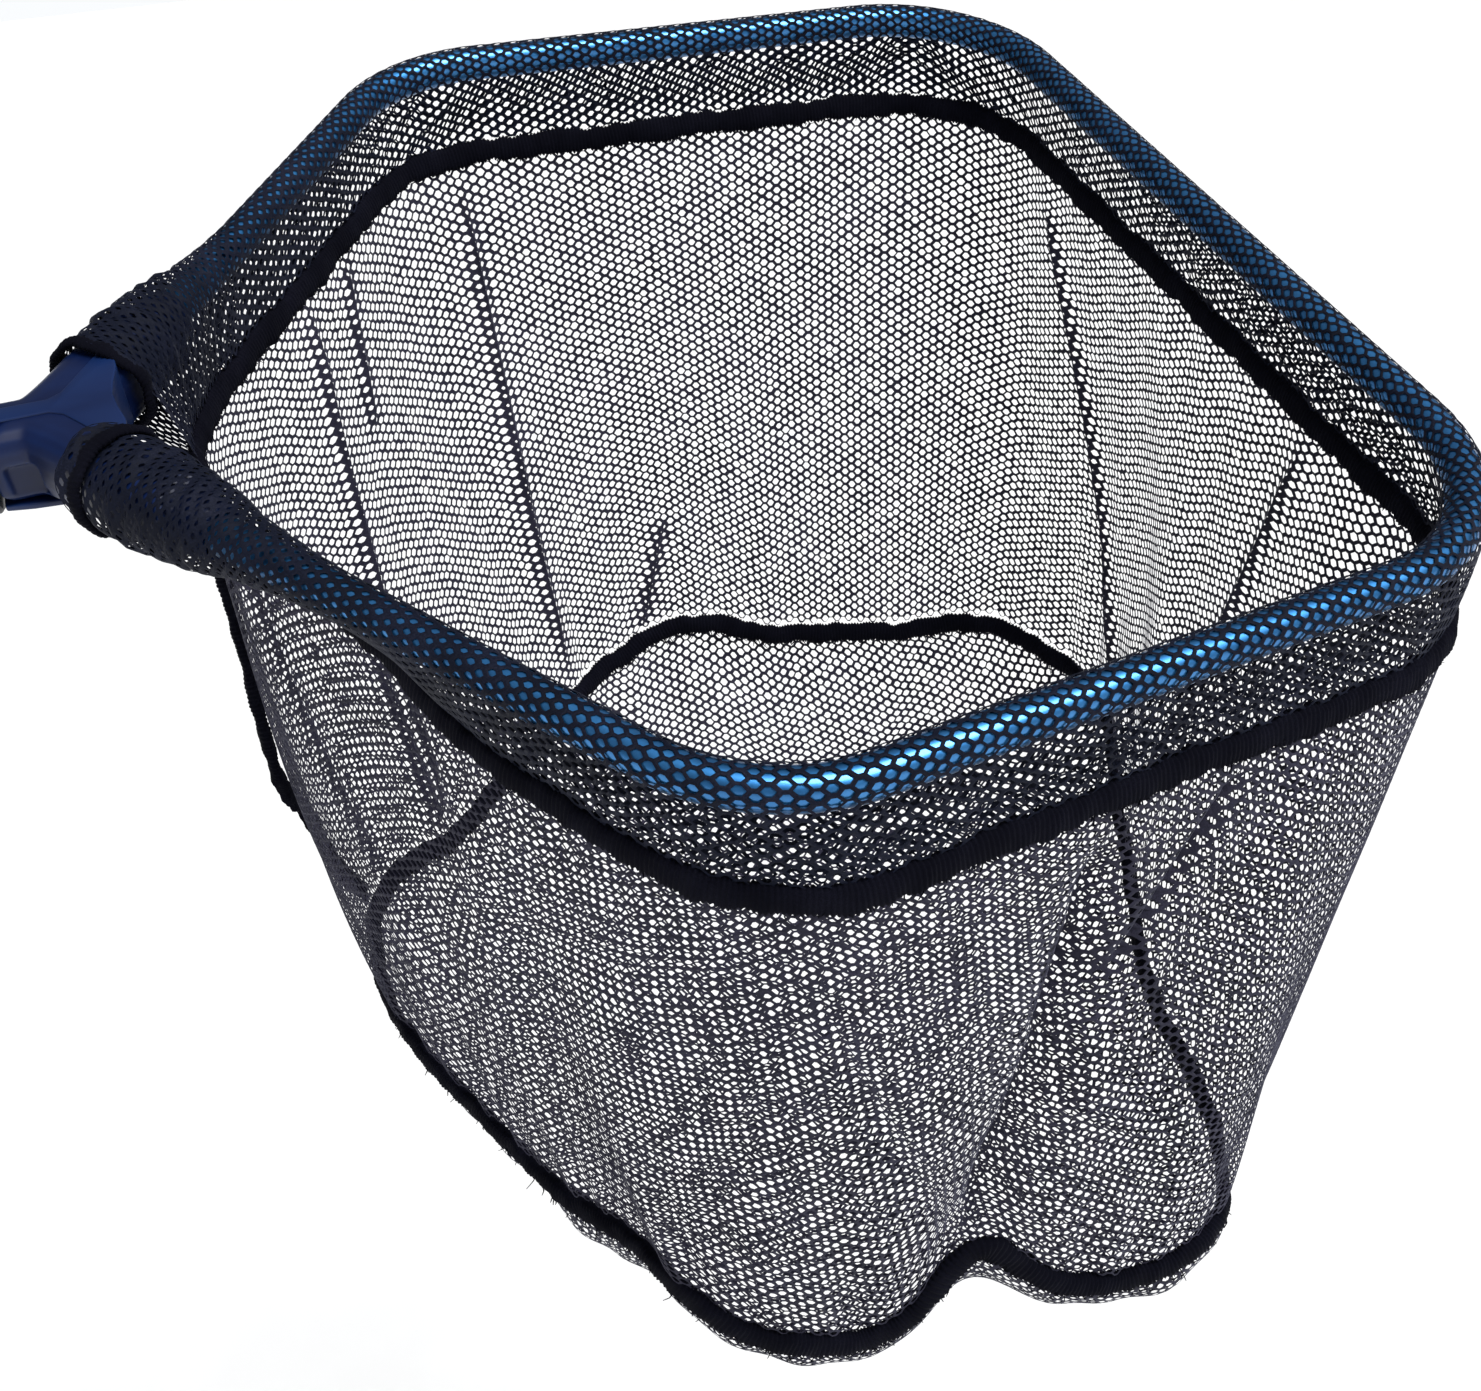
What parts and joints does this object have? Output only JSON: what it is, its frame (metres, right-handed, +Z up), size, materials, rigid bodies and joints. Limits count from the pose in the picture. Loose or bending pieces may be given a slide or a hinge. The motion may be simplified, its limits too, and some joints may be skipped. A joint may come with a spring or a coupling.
{
  "type": "leaf skimmer net",
  "caption": "Deep-bag leaf net head for a pool pole: netting bag sewn to a blue tube hoop in a moulded yoke with a snap-in spigot.",
  "frame": {"origin": "centre of the spigot's end face, the end that goes into the pole", "axes": "+X along the pole towards the net, +Z up against gravity; the hoop is rolled 20 degrees about the pole, its -Y side lower, and the bag hangs straight down"},
  "size_m": [0.6684, 0.5048, 0.533],
  "materials": {
    "blue_anodised": "blue anodised, satin",
    "navy_moulding": "navy moulded plastic, fine satin grain",
    "dark_moulding": "near-black moulded plastic",
    "steel": "plain stainless steel",
    "black_netting": "black warp-knitted polyester netting with small hexagonal holes",
    "black_binding": "black overlocked binding yarn"
  },
  "bodies": {
    "net_head": {"hoop_tube": "blue_anodised", "tube_end_plug_left": "dark_moulding", "tube_end_plug_right": "dark_moulding", "arm_screw_left": "steel", "arm_screw_right": "steel", "yoke_body": "navy_moulding", "stem_screw": "steel", "pole_spigot": "dark_moulding", "shoulder_collar": "dark_moulding", "spigot_end_plug": "dark_moulding", "clip_pin": "steel", "sleeve_edge_left": "black_binding", "sleeve_edge_right": "black_binding", "rim_sleeve": "black_netting", "hem_binding": "black_binding", "wall_panel": "black_netting", "wall_seam": "black_binding", "base_binding": "black_binding", "base_panel": "black_netting"},
    "left_clip": {"clip_leaf_left": "steel", "snap_button_left": "steel"},
    "right_clip": {"clip_leaf_right": "steel", "snap_button_right": "steel"}
  },
  "joints": [
    {"name": "left_button_press", "type": "hinge", "parent": "net_head", "child": "left_clip", "pos_m": [0.094, 0.00211, 0.00077], "axis": [0, -0.342, 0.9397], "range_deg": [0, 5], "stiffness_Nm_per_rad": 0.6},
    {"name": "right_button_press", "type": "hinge", "parent": "net_head", "child": "right_clip", "pos_m": [0.094, -0.00211, -0.00077], "axis": [0, 0.342, -0.9397], "range_deg": [0, 5], "stiffness_Nm_per_rad": 0.6}
  ]
}
